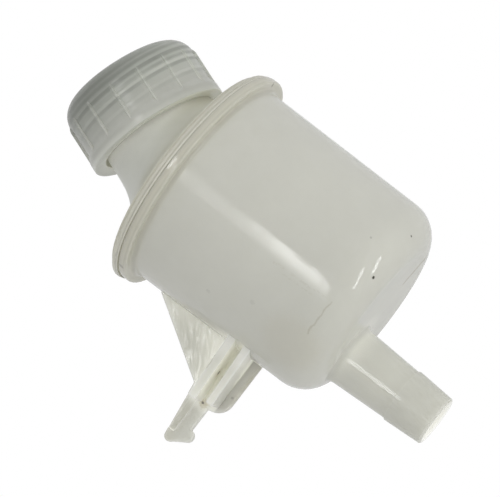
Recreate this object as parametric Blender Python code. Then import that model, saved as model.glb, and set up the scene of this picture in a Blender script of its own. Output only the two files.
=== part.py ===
"""Brake fluid reservoir for a hose-fed master cylinder.

A moulded lower shell holds the cup, the barbed hose outlet and the slide-on bracket with
its snap tongue. An upper shell with a slanted filler neck is welded to its flange, and a
ribbed screw cap with a rubber gasket closes the neck.

All pieces are drawn about the cup's axis, with height zero at the underside of the flange.
The empty cup_axis then places them so that the world's origin is the middle of the
bracket's slot, which is where the vehicle holds the reservoir.
"""

import math

import bmesh
import bpy
from mathutils import Euler, Matrix, Vector

MM = 0.001

# Cup
CUP_RADIUS = 34.0 * MM
CUP_DRAFT = 0.9 * MM
CUP_DEPTH = 66.5 * MM
CUP_CORNER = 11.0 * MM
SHELL_WALL = 2.0 * MM

# Welded flange, from the underside up; its width is measured out from the cup's wall
FLANGE_WIDTH = 3.6 * MM
LOWER_FLANGE = 3.0 * MM
WELD_GAP = 0.3 * MM
UPPER_FLANGE = 1.5 * MM
FLANGE_EDGE = 0.5 * MM
RIM_STEP = 1.5 * MM
RIM_WIDTH = 1.9 * MM
RIM_HEIGHT = 1.3 * MM

# Lid and filler neck; the lid was welded on a little off centre, toward the bracket
LID_OFFSET = 0.7 * MM
LID_SLOPE = math.radians(11.0)
NECK_RISE = 4.4 * MM
NECK_LEAN = math.radians(19.7)
NECK_TURN = math.radians(-9.5)
NECK_RADIUS = 17.7 * MM
NECK_WALL = 2.2 * MM
NECK_FILLET = 13.0 * MM
NECK_LIP = 0.6 * MM

# Screw cap, measured up the neck's axis from its rim
CAP_START = 10.2 * MM
CAP_HEIGHT = 23.2 * MM
CAP_RADIUS = 22.2 * MM
CAP_WALL = 1.9 * MM
CAP_TOP_WALL = 2.2 * MM
CAP_TOP_ROUND = 6.6 * MM
CAP_INNER_ROUND = 2.2 * MM
CAP_BAND = 5.2 * MM
CAP_EDGE = 0.6 * MM
RIB_COUNT = 15
RIB_TURN = math.radians(1.5 - 90.0)
RIB_HEIGHT = 0.7 * MM
RIB_WIDTH = 0.8 * MM
RIB_LENGTH = 13.4 * MM

# Gasket between the cap's roof and the neck's lip
GASKET_THICKNESS = 1.8 * MM
GASKET_DISH = 0.6 * MM
GASKET_EDGE = 0.45 * MM
GASKET_GAP = 0.3 * MM

# Hose outlet, below the cup's floor
OUTLET_OFFSET = 14.5 * MM
OUTLET_LENGTH = 33.0 * MM
OUTLET_ROOT_RADIUS = 9.4 * MM
OUTLET_NECK_RADIUS = 8.5 * MM
OUTLET_BARB_RADIUS = 8.9 * MM
OUTLET_TIP_RADIUS = 8.1 * MM
OUTLET_BARB_START = 19.8 * MM
OUTLET_FILLET = 2.2 * MM
OUTLET_BORE = 6.3 * MM
OUTLET_CHAMFER = 0.5 * MM

# Bracket: a gusset plate with two rails and a snap tongue, drops below the flange
# and reaches out from the cup's axis
PLATE_THICKNESS = 2.6 * MM
PLATE_EDGE = 0.3 * MM
GUSSET_DROP = 9.6 * MM
PLATE_REACH = 53.2 * MM
PLATE_DROP = 48.2 * MM
PLATE_CORNER = 5.2 * MM
SLOT_REACH = 42.0 * MM
SLOT_DROP = 41.3 * MM
SLOT_WIDTH = 3.2 * MM
SLOT_SLOPE = math.radians(3.0)
RAIL_HEIGHT = 11.0 * MM
UPPER_RAIL = 2.5 * MM
LOWER_RAIL = 2.2 * MM
UPPER_RAIL_REACH = 52.4 * MM
LOWER_RAIL_REACH = 51.0 * MM
TONGUE_START = 49.3 * MM
TONGUE_WIDTH = 8.3 * MM
TONGUE_REACH = 68.1 * MM
TONGUE_TAPER = 2.3 * MM
TONGUE_STEP = 0.7 * MM
BEAD_RADIUS = 1.75 * MM
BEAD_END = 235
CATCH_RADIUS = 2.0 * MM
CATCH_SIDE = 200
CATCH_START = 61.2 * MM

# Smoothness of the round pieces
CUP_STEPS = 64
SMALL_STEPS = 40
ARC_STEPS = 10
EDGE_STEPS = 2
INNER_ROUND_STEPS = 3
TOP_ROUND_STEPS = 8
FILLET_STEPS = 7
HALVINGS = 40
SHARP_ANGLE = math.radians(32.0)
BEVEL_ANGLE = math.radians(50.0)
SINK = 0.2 * MM
CUT_MARGIN = 1.0 * MM

# Heights and places worked out from the sizes above
FLANGE_RADIUS = CUP_RADIUS + FLANGE_WIDTH
RIM_RADIUS = FLANGE_RADIUS - RIM_STEP
LID_RADIUS = RIM_RADIUS - RIM_WIDTH
FLANGE_TOP = LOWER_FLANGE + WELD_GAP + UPPER_FLANGE
LID_BASE = FLANGE_TOP + RIM_HEIGHT
NECK_BASE = LID_BASE + NECK_RISE
CAP_ROOF = CAP_START + CAP_HEIGHT - CAP_TOP_WALL
NECK_TOP = CAP_ROOF - GASKET_THICKNESS - 2 * GASKET_GAP
CUP_BORE = CUP_RADIUS - SHELL_WALL
TONGUE_BOTTOM = PLATE_DROP - PLATE_CORNER
PLATE_FACE = PLATE_THICKNESS / 2
SLOT_CENTRE = Vector((-SLOT_REACH, -PLATE_FACE - RAIL_HEIGHT / 2, -SLOT_DROP))
NECK_FRAME = Matrix.Translation((0, 0, NECK_BASE)) @ Euler((0, NECK_LEAN, NECK_TURN)).to_matrix().to_4x4()
OUTLET_FRAME = Matrix.Translation((-OUTLET_OFFSET, 0, -CUP_DEPTH)) @ Matrix.Rotation(math.pi, 4, "X")


def clear_scene():
    for item in list(bpy.data.objects):
        bpy.data.objects.remove(item, do_unlink=True)


def plastic(name, colour, roughness, transmission=0.0):
    """A plain moulded finish."""
    material = bpy.data.materials.new(name)
    material.use_nodes = True
    shader = material.node_tree.nodes["Principled BSDF"]
    shader.inputs["Base Color"].default_value = (*colour, 1.0)
    shader.inputs["Roughness"].default_value = roughness
    shader.inputs["Metallic"].default_value = 0.0
    shader.inputs["Transmission Weight"].default_value = transmission
    material.diffuse_color = (*colour, 1.0)
    return material


def add_object(name, bm, parent, material=None):
    """Turn a bmesh into a named object under its axis empty."""
    bmesh.ops.recalc_face_normals(bm, faces=bm.faces)
    mesh = bpy.data.meshes.new(name)
    bm.to_mesh(mesh)
    bm.free()
    if material:
        mesh.materials.append(material)
    item = bpy.data.objects.new(name, mesh)
    item.parent = parent
    bpy.context.collection.objects.link(item)
    return item


def add_guide(name, bm, parent):
    """A shape that only adds to or cuts another piece."""
    guide = add_object(name, bm, parent)
    guide.hide_render = True
    guide.display_type = "WIRE"
    return guide


def combine(piece, guide, operation):
    change = piece.modifiers.new(guide.name, "BOOLEAN")
    change.operation = operation
    change.solver = "EXACT"
    change.object = guide


def smooth(piece):
    piece.data.shade_smooth()
    piece.data.set_sharp_from_angle(angle=SHARP_ANGLE)


def arc(centre, radius, start, end, steps=ARC_STEPS):
    """Points of an arc in a profile, from the start angle to the end angle in degrees."""
    points = []
    for index in range(steps + 1):
        angle = math.radians(start + (end - start) * index / steps)
        points.append((centre[0] + radius * math.cos(angle), centre[1] + radius * math.sin(angle)))
    return points


def turned(profile, steps):
    """Spin a profile of (radius, height) points about the vertical axis."""
    bm = bmesh.new()
    verts = [bm.verts.new((radius, 0, height)) for radius, height in profile]
    edges = [bm.edges.new(pair) for pair in zip(verts, verts[1:])]
    bmesh.ops.spin(bm, geom=verts + edges, axis=(0, 0, 1), cent=(0, 0, 0), angle=2 * math.pi,
                   steps=steps, use_duplicate=False)
    bmesh.ops.remove_doubles(bm, verts=bm.verts, dist=0.001 * MM)
    return bm


def plate(outline, front, back):
    """Extrude an outline of (x, height) points from one depth to another."""
    bm = bmesh.new()
    face = bm.faces.new([bm.verts.new((x, front, height)) for x, height in outline])
    grown = bmesh.ops.extrude_face_region(bm, geom=[face])
    verts = [part for part in grown["geom"] if isinstance(part, bmesh.types.BMVert)]
    bmesh.ops.translate(bm, verts=verts, vec=(0, back - front, 0))
    return bm


def stacked_rings(rings):
    """Close a stack of rings, each with as many points, into one solid."""
    bm = bmesh.new()
    loops = [[bm.verts.new(point) for point in ring] for ring in rings]
    for lower, upper in zip(loops, loops[1:]):
        for index, vert in enumerate(lower):
            after = (index + 1) % len(lower)
            bm.faces.new((vert, lower[after], upper[after], upper[index]))
    bm.faces.new(reversed(loops[0]))
    bm.faces.new(loops[-1])
    return bm


def tube_ring(frame, along, radius, steps):
    """Points round a tube's wall, at one place along its axis."""
    angles = [2 * math.pi * index / steps for index in range(steps)]
    return [frame @ Vector((radius * math.cos(angle), radius * math.sin(angle), along)) for angle in angles]


def crossing(inner, outer, on_wall):
    """Where a line from inside a wall to outside it crosses the surface, found by halving."""
    rising = outer.z > inner.z
    for _ in range(HALVINGS):
        middle = (inner + outer) / 2
        if (middle.z > on_wall(middle).z) == rising:
            outer = middle
        else:
            inner = middle
    return outer


def blended_rings(frame, radius, fillet, on_wall, steps):
    """Rings from inside a wall up a tube that leaves it, with a fillet along their oblique seam."""
    axis = (frame.to_3x3() @ Vector((0, 0, 1))).normalized()
    rings = [[] for _ in range(FILLET_STEPS + 2)]
    starts = tube_ring(frame, -2 * radius, radius, steps)
    ends = tube_ring(frame, 2 * radius, radius, steps)
    for start, end in zip(starts, ends):
        seam = crossing(start, end, on_wall)
        outward = seam - frame.translation
        outward -= axis * outward.dot(axis)
        outward.z = 0
        foot = seam + outward.normalized() * fillet
        top = seam + axis * fillet
        edge = on_wall(foot, SINK)
        rings[0].append(on_wall(foot, SHELL_WALL / 2))
        for step in range(FILLET_STEPS + 1):
            share = step / FILLET_STEPS
            rings[step + 1].append(edge * (1 - share) ** 2 + seam * 2 * share * (1 - share) + top * share ** 2)
    return rings


def cup_outside():
    """The solid outer form of the cup with its flange."""
    corner = CUP_RADIUS - CUP_DRAFT - CUP_CORNER
    return turned(
        [(0, LOWER_FLANGE)]
        + arc((FLANGE_RADIUS - FLANGE_EDGE, LOWER_FLANGE - FLANGE_EDGE), FLANGE_EDGE, 90, 0, EDGE_STEPS)
        + arc((FLANGE_RADIUS - FLANGE_EDGE, FLANGE_EDGE), FLANGE_EDGE, 0, -90, EDGE_STEPS)
        + [(CUP_RADIUS, 0)]
        + arc((corner, CUP_CORNER - CUP_DEPTH), CUP_CORNER, 0, -90)
        + [(0, -CUP_DEPTH)], CUP_STEPS)


def cup_inside():
    """The cup's cavity, open through the top of the flange."""
    inner_corner = CUP_CORNER - SHELL_WALL
    corner = CUP_RADIUS - CUP_DRAFT - CUP_CORNER
    return turned(
        [(0, LOWER_FLANGE + CUT_MARGIN), (CUP_BORE, LOWER_FLANGE + CUT_MARGIN), (CUP_BORE, 0)]
        + arc((corner, CUP_CORNER - CUP_DEPTH), inner_corner, 0, -90)
        + [(0, SHELL_WALL - CUP_DEPTH)], CUP_STEPS)


def on_floor(point, sink=0.0):
    """The point of the cup's outer floor or its round corner below or above another point."""
    flat = CUP_RADIUS - CUP_DRAFT - CUP_CORNER
    past = max(0.0, point.xy.length - flat)
    rise = CUP_CORNER - math.sqrt(max(0.0, CUP_CORNER ** 2 - past ** 2))
    return Vector((point.x, point.y, rise + sink - CUP_DEPTH))


def outlet_outside():
    """The hose outlet: a blended root, a tapered shank and one long barb."""
    rings = blended_rings(OUTLET_FRAME, OUTLET_ROOT_RADIUS, OUTLET_FILLET, on_floor, SMALL_STEPS)
    for along, radius in (
            (OUTLET_BARB_START, OUTLET_NECK_RADIUS),
            (OUTLET_BARB_START + OUTLET_CHAMFER, OUTLET_BARB_RADIUS),
            (OUTLET_LENGTH - OUTLET_CHAMFER, OUTLET_TIP_RADIUS),
            (OUTLET_LENGTH, OUTLET_TIP_RADIUS - OUTLET_CHAMFER)):
        rings.append(tube_ring(OUTLET_FRAME, along, radius, SMALL_STEPS))
    return stacked_rings(rings)


def outlet_inside():
    """The outlet's bore, from the cavity out through its chamfered mouth."""
    mouth = OUTLET_CHAMFER + CUT_MARGIN
    return stacked_rings([
        tube_ring(OUTLET_FRAME, along, radius, SMALL_STEPS) for along, radius in (
            (-SHELL_WALL - CUT_MARGIN, OUTLET_BORE),
            (OUTLET_LENGTH - OUTLET_CHAMFER, OUTLET_BORE),
            (OUTLET_LENGTH + CUT_MARGIN, OUTLET_BORE + mouth))])


def plate_outline():
    """The bracket plate: a gusset under the flange, a rounded foot and the snap tongue."""
    root = -(CUP_BORE - CUT_MARGIN)
    tongue_top = TONGUE_BOTTOM - TONGUE_WIDTH
    bead = (BEAD_RADIUS - TONGUE_REACH, -(tongue_top + TONGUE_TAPER + BEAD_RADIUS))
    catch = (-CATCH_START - CATCH_RADIUS, -TONGUE_BOTTOM)
    foot = (PLATE_CORNER - PLATE_REACH, -TONGUE_BOTTOM)
    return (
        [(root, -GUSSET_DROP), (-CUP_RADIUS, -GUSSET_DROP), (-TONGUE_START, -tongue_top)]
        + arc(bead, BEAD_RADIUS, 90, BEAD_END)
        + arc(catch, CATCH_RADIUS, CATCH_SIDE, 360)
        + arc(foot, PLATE_CORNER, 180, 270)
        + [(root, -PLATE_DROP)])


def slot_line(reach, offset):
    """A point of the slanted slot, at a reach from the cup's axis."""
    return (-reach, -SLOT_DROP - math.tan(SLOT_SLOPE) * (reach - SLOT_REACH) + offset)


def rail_outline(reach, inner, outer):
    """One rail's side outline, between two offsets from the slot's middle line."""
    root = CUP_BORE * math.cos(math.asin((PLATE_FACE + RAIL_HEIGHT) / CUP_RADIUS)) - CUT_MARGIN
    return [slot_line(root, inner), slot_line(reach, inner),
            slot_line(reach, outer), slot_line(root, outer)]


def tongue_step_outline():
    """The shallow step along the upper half of the tongue's front face."""
    top = TONGUE_BOTTOM - TONGUE_WIDTH - CUT_MARGIN
    middle = TONGUE_BOTTOM - TONGUE_WIDTH / 2
    start = UPPER_RAIL_REACH + CUT_MARGIN / 2
    end = TONGUE_REACH - 2 * BEAD_RADIUS
    return [(-start, -top), (-end, -top), (-end, -middle), (-start, -middle)]


def make_lower_shell(parent, material):
    shell = add_object("lower_shell", cup_outside(), parent, material)
    combine(shell, add_guide("outlet_form", outlet_outside(), parent), "UNION")

    bracket = add_guide("bracket_plate_form", plate(plate_outline(), -PLATE_FACE, PLATE_FACE), parent)
    softened = bracket.modifiers.new("edge", "BEVEL")
    softened.width = PLATE_EDGE
    softened.segments = 1
    softened.limit_method = "ANGLE"
    softened.angle_limit = BEVEL_ANGLE
    combine(shell, bracket, "UNION")

    half = SLOT_WIDTH / 2
    rails = (("upper_rail_form", UPPER_RAIL_REACH, half, half + UPPER_RAIL),
             ("lower_rail_form", LOWER_RAIL_REACH, -half, -half - LOWER_RAIL))
    for name, reach, inner, outer in rails:
        rail = add_guide(name, plate(rail_outline(reach, inner, outer), -PLATE_FACE - RAIL_HEIGHT, 0), parent)
        combine(shell, rail, "UNION")

    step = plate(tongue_step_outline(), -PLATE_FACE - CUT_MARGIN, TONGUE_STEP - PLATE_FACE)
    combine(shell, add_guide("tongue_step_cut", step, parent), "DIFFERENCE")
    combine(shell, add_guide("cavity_cut", cup_inside(), parent), "DIFFERENCE")
    combine(shell, add_guide("outlet_bore_cut", outlet_inside(), parent), "DIFFERENCE")
    smooth(shell)
    return shell


def lid_height(radius):
    """Height of the lid's outer surface at a distance from the lid's own axis."""
    return LID_BASE + (LID_RADIUS - radius) * math.tan(LID_SLOPE)


def on_lid(point, sink=0.0):
    """The point of the lid's outer surface above or below another point."""
    radius = math.hypot(point.x + LID_OFFSET, point.y)
    return Vector((point.x, point.y, lid_height(radius) - sink))


def lid_outside():
    """The solid outer form of the lid with its stepped flange."""
    seat = LOWER_FLANGE + WELD_GAP
    edge = FLANGE_EDGE
    lid = turned(
        [(0, lid_height(0)), (LID_RADIUS, LID_BASE)]
        + arc((RIM_RADIUS - edge, LID_BASE - edge), edge, 90, 0, EDGE_STEPS)
        + [(RIM_RADIUS, FLANGE_TOP)]
        + arc((FLANGE_RADIUS - edge, FLANGE_TOP - edge), edge, 90, 0, EDGE_STEPS)
        + arc((FLANGE_RADIUS - edge, seat + edge), edge, 0, -90, EDGE_STEPS)
        + [(0, seat)], CUP_STEPS)
    bmesh.ops.translate(lid, verts=lid.verts, vec=(-LID_OFFSET, 0, 0))
    return lid


def lid_inside():
    """The shallow cavity under the lid, open through its weld face."""
    drop = SHELL_WALL / math.cos(LID_SLOPE)
    seat = LOWER_FLANGE + WELD_GAP
    return turned(
        [(0, lid_height(0) - drop), (CUP_BORE, lid_height(CUP_BORE) - drop),
         (CUP_BORE, seat - CUT_MARGIN), (0, seat - CUT_MARGIN)], CUP_STEPS)


def neck_outside():
    """The slanted filler neck's solid form, blended into the lid."""
    rings = blended_rings(NECK_FRAME, NECK_RADIUS, NECK_FILLET, on_lid, CUP_STEPS)
    rings.append(tube_ring(NECK_FRAME, NECK_TOP - NECK_LIP, NECK_RADIUS, CUP_STEPS))
    rings.append(tube_ring(NECK_FRAME, NECK_TOP, NECK_RADIUS - NECK_LIP, CUP_STEPS))
    return stacked_rings(rings)


def neck_inside():
    """The filler bore, from below the lid out through the lip."""
    bore = NECK_RADIUS - NECK_WALL
    return stacked_rings([tube_ring(NECK_FRAME, along, bore, CUP_STEPS)
                          for along in (-NECK_RADIUS, NECK_TOP + CUT_MARGIN)])


def make_upper_shell(parent, material):
    shell = add_object("upper_shell", lid_outside(), parent, material)
    combine(shell, add_guide("neck_form", neck_outside(), parent), "UNION")
    combine(shell, add_guide("lid_cavity_cut", lid_inside(), parent), "DIFFERENCE")
    combine(shell, add_guide("filler_bore_cut", neck_inside(), parent), "DIFFERENCE")
    smooth(shell)
    return shell


def cap_section():
    """The cap's section: under the roof, down the bore, round the band and up over the shoulder."""
    band = CAP_RADIUS + RIB_HEIGHT
    bore = CAP_RADIUS - CAP_WALL
    bottom = CAP_START
    top = CAP_START + CAP_HEIGHT
    shoulder = (CAP_RADIUS - CAP_TOP_ROUND, top - CAP_TOP_ROUND)
    inner_shoulder = (bore - CAP_INNER_ROUND, CAP_ROOF - CAP_INNER_ROUND)
    return (
        [(0, CAP_ROOF)]
        + arc(inner_shoulder, CAP_INNER_ROUND, 90, 0, INNER_ROUND_STEPS)
        + [(bore, bottom)]
        + arc((band - CAP_EDGE, bottom + CAP_EDGE), CAP_EDGE, -90, 0, EDGE_STEPS)
        + [(band, bottom + CAP_BAND - RIB_HEIGHT), (CAP_RADIUS, bottom + CAP_BAND)]
        + arc(shoulder, CAP_TOP_ROUND, 0, 90, TOP_ROUND_STEPS)
        + [(0, top)])


def cap_rib(turn):
    """One grip rib, with a slanted top end, standing on the skirt."""
    foot = CAP_RADIUS - CAP_WALL / 2
    crest = CAP_RADIUS + RIB_HEIGHT
    low = CAP_START + CAP_BAND - RIB_HEIGHT - SINK
    high = CAP_START + CAP_BAND + RIB_LENGTH
    bm = plate([(foot, low), (crest, low), (crest, high - RIB_HEIGHT), (foot, high + RIB_HEIGHT)],
               -RIB_WIDTH / 2, RIB_WIDTH / 2)
    bmesh.ops.rotate(bm, verts=bm.verts, cent=(0, 0, 0), matrix=Matrix.Rotation(turn, 3, "Z"))
    return bm


def make_screw_cap(parent, material):
    cap = add_object("screw_cap", turned(cap_section(), CUP_STEPS), parent, material)
    ribs = bmesh.new()
    pitch = 2 * math.pi / RIB_COUNT
    for index in range(RIB_COUNT):
        rib = cap_rib(index * pitch + RIB_TURN)
        scratch = bpy.data.meshes.new("rib")
        rib.to_mesh(scratch)
        rib.free()
        ribs.from_mesh(scratch)
        bpy.data.meshes.remove(scratch)
    combine(cap, add_guide("grip_ribs_form", ribs, parent), "UNION")
    smooth(cap)
    return cap


def make_gasket(parent, material):
    """A round rubber disc, dished on its lower face inside the neck's lip."""
    top = CAP_ROOF - GASKET_GAP
    bottom = top - GASKET_THICKNESS
    radius = NECK_RADIUS - NECK_LIP / 2
    edge = GASKET_EDGE
    dish = NECK_RADIUS - NECK_WALL - GASKET_GAP
    gasket = add_object("cap_gasket", turned(
        [(0, top)]
        + arc((radius - edge, top - edge), edge, 90, 0, EDGE_STEPS)
        + arc((radius - edge, bottom + edge), edge, 0, -90, EDGE_STEPS)
        + [(dish, bottom), (dish - GASKET_DISH, bottom + GASKET_DISH), (0, bottom + GASKET_DISH)],
        CUP_STEPS), parent, material)
    smooth(gasket)
    return gasket


def add_axis(name, parent=None):
    axis = bpy.data.objects.new(name, None)
    axis.parent = parent
    bpy.context.collection.objects.link(axis)
    return axis


def main():
    clear_scene()
    cup_axis = add_axis("cup_axis")
    cup_axis.location = -SLOT_CENTRE
    cap_axis = add_axis("cap_axis", cup_axis)
    cap_axis.location = (0, 0, NECK_BASE)
    cap_axis.rotation_euler = (0, NECK_LEAN, NECK_TURN)

    milky = plastic("milky_polypropylene", (0.66, 0.66, 0.60), 0.38, 0.25)
    aged = plastic("aged_polypropylene", (0.64, 0.62, 0.54), 0.40, 0.20)
    clear_cap = plastic("translucent_cap", (0.58, 0.60, 0.56), 0.35, 0.35)
    rubber = plastic("black_rubber", (0.03, 0.03, 0.03), 0.75)

    make_lower_shell(cup_axis, milky)
    make_upper_shell(cup_axis, aged)
    make_screw_cap(cap_axis, clear_cap)
    make_gasket(cap_axis, rubber)


main()
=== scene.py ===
"""Looks of the brake fluid reservoir: milky polypropylene, a ribbed cap and years of handling."""

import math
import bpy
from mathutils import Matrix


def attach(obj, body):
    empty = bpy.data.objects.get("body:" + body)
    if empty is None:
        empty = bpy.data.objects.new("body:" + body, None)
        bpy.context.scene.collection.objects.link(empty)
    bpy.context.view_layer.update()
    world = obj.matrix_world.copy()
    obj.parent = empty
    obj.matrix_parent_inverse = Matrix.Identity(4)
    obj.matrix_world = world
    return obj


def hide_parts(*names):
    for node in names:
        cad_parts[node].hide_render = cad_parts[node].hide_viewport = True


bl_info = {
    "name": "Brake fluid reservoir",
    "version": (1, 0, 0),
    "blender": (4, 5, 0),
    "location": "View3D > Sidebar > Reservoir",
    "description": "Builds the visible shells, cap, threads and stage round the packed reservoir",
    "category": "Object",
}

import bmesh
import bpy
from bpy.props import FloatProperty, FloatVectorProperty, IntProperty, PointerProperty
from mathutils import Euler, Matrix, Vector

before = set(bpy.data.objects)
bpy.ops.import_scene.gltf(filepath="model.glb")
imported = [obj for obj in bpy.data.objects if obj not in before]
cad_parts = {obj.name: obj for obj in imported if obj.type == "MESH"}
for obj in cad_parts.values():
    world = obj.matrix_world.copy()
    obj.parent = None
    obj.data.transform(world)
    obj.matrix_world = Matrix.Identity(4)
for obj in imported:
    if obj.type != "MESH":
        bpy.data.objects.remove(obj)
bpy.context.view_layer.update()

MM = 0.001

# Places of the axes in the part's frame, as its CAD source has them
CUP_PLACE = Vector((42.0, 6.8, 41.3)) * MM
NECK_BASE = 10.5 * MM
NECK_LEAN = math.radians(19.7)
NECK_TURN = math.radians(-9.5)
NECK_RADIUS = 17.7 * MM
CUP_FRAME = Matrix.Translation(CUP_PLACE)
NECK_TILT = Euler((0, NECK_LEAN, NECK_TURN)).to_matrix().to_4x4()
CAP_FRAME = CUP_FRAME @ Matrix.Translation((0, 0, NECK_BASE)) @ NECK_TILT

# Screw cap, measured up the neck's axis
CAP_START = 10.2 * MM
CAP_TOP = 33.4 * MM
CAP_ROOF = 31.2 * MM
CAP_RADIUS = 22.2 * MM
CAP_BORE = 20.3 * MM
CAP_LIP = 18.75 * MM
CAP_TOP_ROUND = 6.6 * MM
CAP_INNER_ROUND = 2.2 * MM
CAP_BAND = 5.2 * MM
CAP_BAND_STEP = 0.7 * MM
CAP_EDGE = 0.6 * MM
# Heights above the mouth: where the bore ends, the lip's middle and the band's sloping edge
CAP_BORE_END = (2.4 * MM, 1.8 * MM)
CAP_LIP_MIDDLE = 0.9 * MM
CAP_LIP_ROUND = 0.5 * MM
CAP_SLOPE_START = CAP_BAND - 1.4 * MM
CAP_SLOPE_HEIGHT = 2.6 * MM
# The mark of the mould in the middle of the roof: radius and depth in millimetres
CAP_MARK = ((3.4, 0), (3.0, 0.35), (0.8, 0.35), (0.6, 0.1), (0, 0.1))
MOUTH_SKEW = 1.6 * MM
MOUTH_FADE = CAP_BAND - 1.5 * MM
MOUTH_SIDE = (0.26, -0.97)
RIB_TURN = math.radians(-88.5)
RIB_LENGTH = 13.6 * MM
RIB_OVERLAP = 0.8 * MM
# Threads: radius of the crest's middle, turns and start up the neck's axis
NECK_THREAD = (NECK_RADIUS, 3.2, 17.2 * MM)
CAP_THREAD = (CAP_BORE - 0.9 * MM, 4.2, 15.7 * MM)

# Gasket
GASKET_TOP = 30.9 * MM
GASKET_BOTTOM = 29.1 * MM
GASKET_RADIUS = 17.4 * MM
GASKET_SEAT = 15.2 * MM
GASKET_DISH = 0.6 * MM
GASKET_EDGE = 0.45 * MM

# Cup and welded flange, measured up the cup's axis
CUP_RADIUS = 34.0 * MM
CUP_SLOPE = 0.0162
OUTLET_PLACE = (27.5 * MM, 6.8 * MM)
BEAD_RADIUS = 37.5 * MM
WELD_HEIGHT = 3.15 * MM
LID_OFFSET = 0.7 * MM

# How smooth a turned piece is, and what counts as one point, a sharp edge, a flat area
# and a point on the flange's root
ROUND_STEPS = 144
MERGE = 0.002 * MM
SHARP_EDGE = math.radians(48)
FLAT_AREA = math.radians(0.3)
ON_ROOT = 0.05 * MM


def arc(centre, radius, start, end, steps):
    """Points of an arc in a profile, from the start angle to the end angle in degrees."""
    points = []
    for index in range(steps + 1):
        angle = math.radians(start + (end - start) * index / steps)
        points.append((centre[0] + radius * math.cos(angle), centre[1] + radius * math.sin(angle)))
    return points


def spun(profile):
    """Spin a profile of (radius, height) points about the vertical axis."""
    bm = bmesh.new()
    verts = [bm.verts.new((radius, 0, height)) for radius, height in profile]
    edges = [bm.edges.new(pair) for pair in zip(verts, verts[1:])]
    bmesh.ops.spin(bm, geom=verts + edges, axis=(0, 0, 1), cent=(0, 0, 0), angle=2 * math.pi,
                   steps=ROUND_STEPS, use_duplicate=False)
    bmesh.ops.remove_doubles(bm, verts=bm.verts, dist=MERGE)
    bmesh.ops.recalc_face_normals(bm, faces=bm.faces)
    return bm


def new_piece(name, mesh, material):
    """Link a finished mesh as a piece at the origin."""
    mesh.materials.clear()
    mesh.materials.append(material)
    piece = bpy.data.objects.new(name, mesh)
    bpy.context.scene.collection.objects.link(piece)
    return piece


def shade_by_angle(mesh, angle=35.0):
    mesh.shade_smooth()
    mesh.set_sharp_from_angle(angle=math.radians(angle))


def at_flange_root(place):
    """Whether a place lies on the ring where the flange leaves the cup."""
    away = (place - CUP_PLACE).xy.length - CUP_RADIUS
    return abs(place.z - CUP_PLACE.z) < ON_ROOT and abs(away) < ON_ROOT


def merged_copy(node, name):
    """A copy of a CAD node's mesh with its loose triangles joined and flat areas made whole."""
    bm = bmesh.new()
    bm.from_mesh(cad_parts[node].data)
    bmesh.ops.remove_doubles(bm, verts=bm.verts, dist=MERGE)
    bmesh.ops.dissolve_limit(bm, angle_limit=FLAT_AREA, verts=bm.verts, edges=bm.edges)
    weight = bm.edges.layers.float.new("bevel_weight_edge")
    root = bm.edges.layers.float.new("root_weight")
    for edge in bm.edges:
        if all(at_flange_root(vert.co) for vert in edge.verts):
            edge[root] = 1.0
        if edge.is_manifold and edge.is_convex and edge.calc_face_angle() > SHARP_EDGE:
            edge[weight] = 1.0
    mesh = bpy.data.meshes.new(name)
    bm.to_mesh(mesh)
    bm.free()
    return mesh


def soften_edges(piece, width):
    """Round the moulded edges a little, so that they catch the light."""
    bevel = piece.modifiers.new("moulded_edges", "BEVEL")
    bevel.width = width
    bevel.segments = 2
    bevel.limit_method = "WEIGHT"
    bevel.harden_normals = False
    weigh = piece.modifiers.new("flat_faces", "WEIGHTED_NORMAL")
    weigh.keep_sharp = True


def finish_piece(piece, body, nodes=()):
    if nodes:
        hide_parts(*nodes)
    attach(piece, body)


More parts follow.
